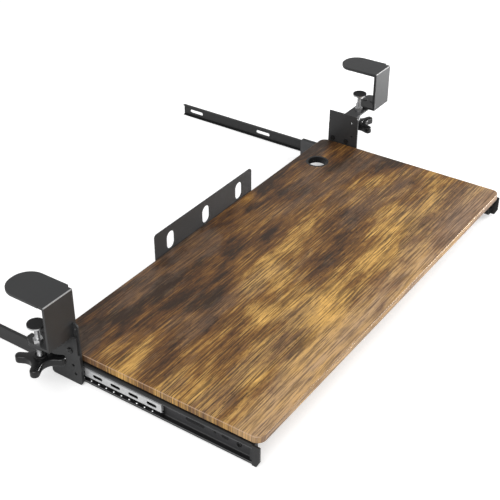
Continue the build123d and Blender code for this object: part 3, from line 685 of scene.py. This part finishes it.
BEND_HIGHLIGHT_LINE = (0.0018, 0.0010)    # depth at which the painted highlight line on a bend starts, and is full
BEND_HIGHLIGHT_SHARE = 0.7
BEND_HIGHLIGHT_GREY = (0.5, 0.5, 0.5)
CAGE_FACE = 0.62                # plated share of a ball cage's height
SHELF_FADE = 0.0006
SHELF_GREY = (0.030, 0.030, 0.032)
LIT_WEB_REACH = 0.002                # the web's painted light reaches this far out
LIT_WEB_FADE = 0.001
LIP_HIGHLIGHT_REACH = 0.0006               # the outermost part of a lip, which gets the painted highlight
LIP_HIGHLIGHT_FADE = 0.0002
LIP_HEIGHT = 0.0052
LIP_HIGHLIGHT_LINE = (0.0004, 0.0007)  # half the width of the painted highlight line, and where it ends
LIP_HIGHLIGHT_SHARE = 0.5
LIP_HIGHLIGHT_GREY = (0.30, 0.30, 0.31)
BLACK_SHADE = 0.4               # black fasteners next to the powder coat
SCREW_SHADE = 0.86              # plated screws and nuts next to the zinc
BALL_SHADE = 0.95
TRIM_SHADE = 2.8                # trim and rubber next to the knobs


class TRAY_OT_steel_finish(bpy.types.Operator):
    """Give clamps, hangers, brackets, slides and fasteners their painted or plated steel"""

    bl_idname = "tray.steel_finish"
    bl_label = "Painted and plated steel"

    def execute(self, context):
        look = context.scene.tray_steel
        self.frame_finish(look)
        self.rail_finish(look)
        coat_finish("fastener_black", shade_of(look.coat, BLACK_SHADE))
        plated_finish("cage_zinc", look.zinc, self.ball_shelves)
        plated_finish("fastener_zinc", shade_of(look.zinc, SCREW_SHADE))
        plated_finish("ball_steel", shade_of(look.zinc, BALL_SHADE))
        dress(["frame_paint", "rail_paint", "fastener_black", "cage_zinc", "fastener_zinc",
               "ball_steel"])
        return {"FINISHED"}

    def frame_finish(self, look):
        """Powder coat with a painted highlight: a paler line along the front bend of both clamps.
        """
        low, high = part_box("left_clamp_body")
        tree = open_finish("frame_paint")
        place = tree.place()
        far, near = BEND_HIGHLIGHT_LINE
        # Painted highlight: a paler line along the clamps' top front bend.
        bend = tree.times(
            tree.band(place[1], low.y + far, low.y + near),
            tree.band(place[2], high.z - far, high.z - near))
        colour = tree.blend(tree.times(bend, BEND_HIGHLIGHT_SHARE), look.coat, BEND_HIGHLIGHT_GREY)
        coat_finish("frame_paint", colour, tree)

    def ball_shelves(self, tree):
        """Mask and colour of the dark ball shelves above and below a cage's plated face."""
        low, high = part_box("left_ball_cage")
        middle = (low.z + high.z) / 2
        face = CAGE_FACE * (high.z - low.z) / 2
        off = tree.math("ABSOLUTE", tree.less(tree.place()[2], middle))
        return tree.band(off, face, face + SHELF_FADE), SHELF_GREY

    def rail_finish(self, look):
        """Glossy lips painted darker as painted shade, a web painted lighter between them as
        painted light, and a painted highlight along the lips' edges.
        """
        low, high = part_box("left_moving_rail")
        web = min(abs(low.x), abs(high.x)) + LIT_WEB_REACH
        lip = max(abs(low.x), abs(high.x)) - LIP_HIGHLIGHT_REACH
        middle = (low.z + high.z) / 2
        rim = (high.z - low.z) / 2 - LIP_HEIGHT
        tree = open_finish("rail_paint")
        place = tree.place()
        out = tree.math("ABSOLUTE", place[0])
        # Painted light and shade: the web is given the lighter colour, the lips the darker one.
        lit_web_share = tree.band(out, web, web + LIT_WEB_FADE, 1.0, 0.0)
        off = tree.math("ABSOLUTE", tree.less(place[2], middle))
        # Painted highlight: a pale line along the edge of each lip.
        near = tree.band(tree.math("ABSOLUTE", tree.less(off, rim)), *LIP_HIGHLIGHT_LINE, 1.0, 0.0)
        lip_highlight = tree.times(near, tree.band(out, lip, lip + LIP_HIGHLIGHT_FADE))
        colour = tree.blend(lit_web_share, look.rail, look.web)
        colour = tree.blend(tree.times(lip_highlight, LIP_HIGHLIGHT_SHARE), colour, LIP_HIGHLIGHT_GREY)
        coat_finish("rail_paint", colour, tree)


class TRAY_OT_moulded_finish(bpy.types.Operator):
    """Give the knobs, end caps, cable ring and pads their plastic and rubber"""

    bl_idname = "tray.moulded_finish"
    bl_label = "Plastic and rubber"

    def execute(self, context):
        look = context.scene.tray_knob
        trim = shade_of(look.colour, TRIM_SHADE)
        coat_finish("knob_plastic", look.colour)
        coat_finish("trim_plastic", trim)
        coat_finish("pad_rubber", trim)
        dress(["knob_plastic", "trim_plastic", "pad_rubber"])
        return {"FINISHED"}


# Clamp screws

# One turn of the thread, from root to root: share of the pitch, share of the depth
THREAD_SHAPE = ((0.0, 1.0), (0.08, 1.0), (0.42, 0.0), (0.58, 0.0), (0.92, 1.0), (1.0, 1.0))
SPARE_TURNS = 2      # wound in excess and cut off level
THREAD_WELD = 4e-6
CUT_SLACK = 1e-7
PIN_TIP = 0.82       # radius of the plain pin at its tip, as a share of its own


class TRAY_OT_clamp_screws(bpy.types.Operator):
    """Cut a thread on both clamp screws"""

    bl_idname = "tray.clamp_screws"
    bl_label = "Threaded clamp screws"

    def execute(self, context):
        look = context.scene.tray_screw
        for side in SIDES:
            node = side + "_clamp_screw"
            low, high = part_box(node)
            middle = box_middle(node)
            radius = (high.x - low.x) / 2
            socket = high.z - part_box(side + "_pressure_pad")[0].z
            thread_top = high.z - socket - look.pitch / 2
            bm = self.wound(look, middle, radius, low.z, thread_top)
            cap = self.closed(bm, low.z, thread_top)
            pin = radius - look.depth / 3
            steps = ((pin, thread_top + look.pitch / 3), (pin, high.z - pin / 6),
                     (PIN_TIP * pin, high.z))
            self.draw_pin(bm, cap, middle, steps)
            add_piece(side + "_threaded_screw", bm, "fastener_zinc", body_of(node), node)
        return {"FINISHED"}

    def wound(self, look, middle, radius, foot, top):
        """A thread that reaches past its foot and its top, open at both ends."""
        bm = bmesh.new()
        turns = math.ceil((top - foot) / look.pitch) + SPARE_TURNS
        line = [
            bm.verts.new((middle.x + radius - depth * look.depth, middle.y,
                          foot + (rise - 1.0) * look.pitch))
            for rise, depth in THREAD_SHAPE]
        edges = [bm.edges.new(pair) for pair in zip(line, line[1:])]
        bmesh.ops.spin(
            bm, geom=line + edges, cent=middle, axis=(0, 0, 1), angle=math.tau * turns,
            dvec=(0, 0, look.pitch / look.steps), steps=look.steps * turns, use_merge=False)
        bmesh.ops.remove_doubles(bm, verts=bm.verts, dist=THREAD_WELD)
        return bm

    def closed(self, bm, foot, top):
        """Cut the thread level at both ends and close it; returns the upper cap."""
        for level, facing in ((foot, -1), (top, 1)):
            whole = bm.verts[:] + bm.edges[:] + bm.faces[:]
            bmesh.ops.bisect_plane(
                bm, geom=whole, dist=CUT_SLACK, plane_co=(0, 0, level), plane_no=(0, 0, facing),
                clear_outer=True)
        open_edges = [edge for edge in bm.edges if edge.is_boundary]
        caps = bmesh.ops.holes_fill(bm, edges=open_edges, sides=0)["faces"]
        if len(caps) != 2:
            raise RuntimeError(f"a clamp screw's thread should have two ends, not {len(caps)}")
        return max(caps, key=lambda face: face.calc_center_median().z)

    def draw_pin(self, bm, cap, middle, steps):
        """Draw the upper cap out into a plain pin."""
        for reach, rise in steps:
            grown = bmesh.ops.extrude_face_region(bm, geom=[cap])["geom"]
            bmesh.ops.delete(bm, geom=[cap], context="FACES_ONLY")
            cap = next(part for part in grown if isinstance(part, bmesh.types.BMFace))
            for vert in cap.verts:
                out = Vector((vert.co.x - middle.x, vert.co.y - middle.y)).normalized() * reach
                vert.co = (middle.x + out.x, middle.y + out.y, rise)


# Star knobs

KNOB_TURN = {"left": math.radians(28), "right": math.radians(70)}
ARM_REACH = 0.0362      # from the screw to the tip of an arm
TIP_ROUND = 0.93        # as a share of half an arm's width
WEB_STEPS, TIP_STEPS, RIM_STEPS = 9, 6, 4
STAR_WELD = 1e-5
BOSS = 0.003            # the hub rises this far above the star
BORE = 0.004
BORE_GAP = 0.0001
HUB_RADIUS = 0.0095
HUB_SUNK = 0.0012       # depth of the recess round the screw
RECESS = (0.0022, 0.0026, 0.0030)  # from the bore to the recess's floor, wall and rim
HUB_ROUND = 0.0010
HUB_EASE = 0.0003       # how far a rounded corner's middle stays back
HUB_STEPS = 48
FOOT_GAP = 0.0002


class TRAY_OT_star_knobs(bpy.types.Operator):
    """Mould the four-armed star knobs"""

    bl_idname = "tray.star_knobs"
    bl_label = "Star knobs"

    def execute(self, context):
        look = context.scene.tray_knob
        for side in SIDES:
            node = side + "_star_knob"
            low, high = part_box(node)
            screw = box_middle(side + "_clamp_screw")
            star = self.star(look, high.z - BOSS - low.z)
            turned = Matrix.Rotation(KNOB_TURN[side], 4, "Z")
            place = Matrix.Translation((screw.x, screw.y, low.z)) @ turned
            bmesh.ops.transform(star, matrix=place, verts=star.verts)
            add_piece(side + "_knob_star", star, "knob_plastic", body_of(node), node)
            hub = self.hub(screw, low.z, high.z)
            add_piece(side + "_knob_hub", hub, "knob_plastic", body_of(node))
        return {"FINISHED"}

    def star(self, look, height):
        """A star on the origin, with hollows between its arms and rounded rims."""
        half = look.arm_width / 2
        bm = bmesh.new()
        outline = []
        for quarter in range(4):
            spin = Matrix.Rotation(quarter * math.pi / 2, 3, "Z")
            for corner in ((ARM_REACH, -half), (ARM_REACH, half), (half, half)):
                outline.append(bm.verts.new(spin @ Vector((*corner, 0))))
        bm.faces.new(outline)
        tips = [vert for vert in outline if vert.co.length > ARM_REACH]
        webs = [vert for vert in outline if vert.co.length < ARM_REACH]
        round_off(bm, webs, "VERTICES", look.web_round, WEB_STEPS)
        tips = [vert for vert in tips if vert.is_valid]
        round_off(bm, tips, "VERTICES", TIP_ROUND * half, TIP_STEPS)
        bmesh.ops.remove_doubles(bm, verts=bm.verts, dist=STAR_WELD)
        grown = bmesh.ops.extrude_face_region(bm, geom=bm.faces[:])["geom"]
        raised = [part for part in grown if isinstance(part, bmesh.types.BMVert)]
        bmesh.ops.translate(bm, verts=raised, vec=(0, 0, height))
        bmesh.ops.recalc_face_normals(bm, faces=bm.faces)
        rims = flat_rims(bm, 0.0) + flat_rims(bm, height)
        round_off(bm, rims, "EDGES", look.edge_round, RIM_STEPS, clamp=True)
        return bm

    def hub(self, screw, foot, top):
        """A turned hub round the screw, with a recess in its rounded top."""
        foot = foot + FOOT_GAP
        wall = BORE + BORE_GAP
        floor, side, rim = (BORE + out for out in RECESS)
        ring = [
            (wall, foot), (wall, top - HUB_SUNK), (floor, top - HUB_SUNK),
            (side, top - HUB_EASE), (rim, top), (HUB_RADIUS - HUB_ROUND, top),
            (HUB_RADIUS - HUB_EASE, top - HUB_EASE), (HUB_RADIUS, top - HUB_ROUND),
            (HUB_RADIUS, foot)]
        bm = bmesh.new()
        line = [bm.verts.new((screw.x + out, screw.y, level)) for out, level in ring]
        edges = [bm.edges.new(pair) for pair in zip(line, line[1:] + line[:1])]
        bmesh.ops.spin(bm, geom=line + edges, cent=(screw.x, screw.y, 0), axis=(0, 0, 1),
                       angle=math.tau, steps=HUB_STEPS, use_merge=True)
        return bm


# Board and sheet edges

SHEETS = ("_clamp_body", "_hanger", "_slide_bracket", "_tray_angle")
BOARD_ROUND = 2     # the board's edges are rounded this many times as far as the sheets'
EDGE_STEPS = 2
FACE_WEIGHT = 100   # all weight to the flat faces, so that they stay flat in the light


class TRAY_OT_sheet_edges(bpy.types.Operator):
    """Round the edges of the board, clamps, hangers, brackets, stop plate and angles"""

    bl_idname = "tray.sheet_edges"
    bl_label = "Rounded board and sheet edges"

    def execute(self, context):
        width = context.scene.tray_steel.edge_round
        nodes = ["rear_stop_plate", "tray_board"]
        for side in SIDES:
            nodes += [side + part for part in SHEETS]
        for node in nodes:
            bm = copy_of(node)
            piece = add_piece(node + "_rounded", bm, SLOT_OF[node], body_of(node), node)
            piece.data.set_sharp_from_angle(angle=math.pi)  # the rounding takes the edges' place
            edges = piece.modifiers.new("rounded_edges", "BEVEL")
            edges.limit_method = "ANGLE"
            edges.angle_limit = SHARP
            edges.width = BOARD_ROUND * width if node == "tray_board" else width
            edges.segments = EDGE_STEPS
            flat = piece.modifiers.new("flat_faces", "WEIGHTED_NORMAL")
            flat.weight = FACE_WEIGHT
        return {"FINISHED"}


# Studio

SENSOR = 36          # width of the camera's sensor, in millimetres
CAMERA_END = 50      # the camera sees no further than this
FLOOR_RADIUS = 9.0
FLOOR_SIDES = 96
FLOOR_DROP = 0.0005  # the floor lies this far below the tray
FLOOR_GLOW = 0.42    # light that the floor gives off, for the camera only
# Lamps: place, width, the node that it faces, or else the tray's middle, and its power's setting
LAMPS = {
    "key_lamp": ((-2.3, -0.6, 2.1), 2.2, None, "key_power"),
    "side_lamp": ((1.65, -0.90, -0.02), 0.45, "right_clamp_body", "side_power"),
    "front_lamp": ((1.35, -1.25, 1.20), 0.45, None, "front_power"),
}


def aimed(direction):
    """Turn of a camera or lamp that looks in that direction."""
    return direction.to_track_quat("-Z", "Y").to_euler()


class TRAY_OT_stage(bpy.types.Operator):
    """Set up the camera, the pale floor and the soft lamps"""

    bl_idname = "tray.stage"
    bl_label = "Studio"

    def execute(self, context):
        look = context.scene.tray_stage
        scene = context.scene
        scene.view_settings.view_transform = "Standard"
        low, high = Vector(CAD_BOX[0]), Vector(CAD_BOX[1])
        middle = (low + high) / 2
        self.camera(scene, look)
        self.floor(scene, look, middle, low.z)
        self.surround(scene, look)
        for name, (place, width, node, power) in LAMPS.items():
            target = box_middle(node) if node else middle
            self.lamp(scene, name, place, target, width, getattr(look, power))
        return {"FINISHED"}

    def camera(self, scene, look):
        """The camera that sees the tray as the stage settings say."""
        lens = bpy.data.cameras.new("tray_camera")
        lens.sensor_width = SENSOR
        lens.lens = look.lens
        lens.shift_x, lens.shift_y = look.shift
        lens.clip_end = CAMERA_END
        camera = bpy.data.objects.new("tray_camera", lens)
        camera.location = look.eye
        camera.rotation_euler = aimed(Vector(look.look))
        scene.collection.objects.link(camera)
        scene.camera = camera

    def floor(self, scene, look, middle, level):
        """A wide matt disc under the tray that the camera sees almost white."""
        bm = bmesh.new()
        bmesh.ops.create_circle(bm, cap_ends=True, radius=FLOOR_RADIUS, segments=FLOOR_SIDES)
        bmesh.ops.translate(bm, verts=bm.verts, vec=(middle.x, middle.y, level - FLOOR_DROP))
        mesh = bpy.data.meshes.new("studio_floor")
        bm.to_mesh(mesh)
        bm.free()
        floor = bpy.data.objects.new("studio_floor", mesh)
        scene.collection.objects.link(floor)
        material = bpy.data.materials.new("studio_floor")
        material.use_nodes = True
        material.node_tree.nodes.clear()
        tree = Tree(material.node_tree)
        matt = tree.add("ShaderNodeBsdfDiffuse", Color=tuple(look.floor))
        strength = tree.times(self.seen_directly(tree), FLOOR_GLOW)
        glow = tree.add("ShaderNodeEmission", Color=(1, 1, 1), Strength=strength)
        both = tree.add("ShaderNodeAddShader")
        tree.feed(both.inputs[0], matt.outputs[0])
        tree.feed(both.inputs[1], glow.outputs[0])
        out = tree.add("ShaderNodeOutputMaterial")
        tree.feed(out.inputs["Surface"], both.outputs[0])
        mesh.materials.append(material)

    def surround(self, scene, look):
        """A white world, dimmer on the tray than in the camera's view."""
        world = bpy.data.worlds.new("studio_surround")
        world.use_nodes = True
        world.node_tree.nodes.clear()
        tree = Tree(world.node_tree)
        strength = tree.band(self.seen_directly(tree), 0.0, 1.0, look.sky, 1.0)
        light = tree.add("ShaderNodeBackground", Color=(1, 1, 1), Strength=strength)
        out = tree.add("ShaderNodeOutputWorld")
        tree.feed(out.inputs["Surface"], light.outputs[0])
        scene.world = world

    def seen_directly(self, tree):
        """1 where the camera sees the surface, else 0."""
        return tree.add("ShaderNodeLightPath").outputs["Is Camera Ray"]

    def lamp(self, scene, name, place, target, width, power):
        """A square lamp that faces a point."""
        light = bpy.data.lights.new(name, "AREA")
        light.size = width
        light.energy = power
        lamp = bpy.data.objects.new(name, light)
        lamp.location = place
        lamp.rotation_euler = aimed(target - Vector(place))
        scene.collection.objects.link(lamp)


OPERATORS = (
    TRAY_OT_board_finish,
    TRAY_OT_steel_finish,
    TRAY_OT_moulded_finish,
    TRAY_OT_clamp_screws,
    TRAY_OT_star_knobs,
    TRAY_OT_sheet_edges,
    TRAY_OT_stage,
)
SETTINGS = {
    "tray_board": TrayBoardSettings,
    "tray_steel": TraySteelSettings,
    "tray_screw": TrayScrewSettings,
    "tray_knob": TrayKnobSettings,
    "tray_stage": TrayStageSettings,
}


class TRAY_PT_panel(bpy.types.Panel):
    """Settings and steps of the tray"""

    bl_label = "Keyboard tray"
    bl_idname = "TRAY_PT_panel"
    bl_space_type = "VIEW_3D"
    bl_region_type = "UI"
    bl_category = "Tray"

    def draw(self, context):
        for name in SETTINGS:
            group = getattr(context.scene, name)
            column = self.layout.box().column()
            for setting in group.bl_rna.properties.keys():
                if setting not in ("rna_type", "name"):
                    column.prop(group, setting)
        for step in OPERATORS:
            self.layout.operator(step.bl_idname)


def register():
    for group in SETTINGS.values():
        bpy.utils.register_class(group)
    for name, group in SETTINGS.items():
        setattr(bpy.types.Scene, name, bpy.props.PointerProperty(type=group))
    for step in OPERATORS:
        bpy.utils.register_class(step)
    bpy.utils.register_class(TRAY_PT_panel)


def unregister():
    bpy.utils.unregister_class(TRAY_PT_panel)
    for step in reversed(OPERATORS):
        bpy.utils.unregister_class(step)
    for name in SETTINGS:
        delattr(bpy.types.Scene, name)
    for group in SETTINGS.values():
        bpy.utils.unregister_class(group)


def main():
    register()
    make_coat_group()
    make_plating_group()
    for step in OPERATORS:
        area, name = step.bl_idname.split(".")
        getattr(getattr(bpy.ops, area), name)()


if __name__ == "__main__":
    main()
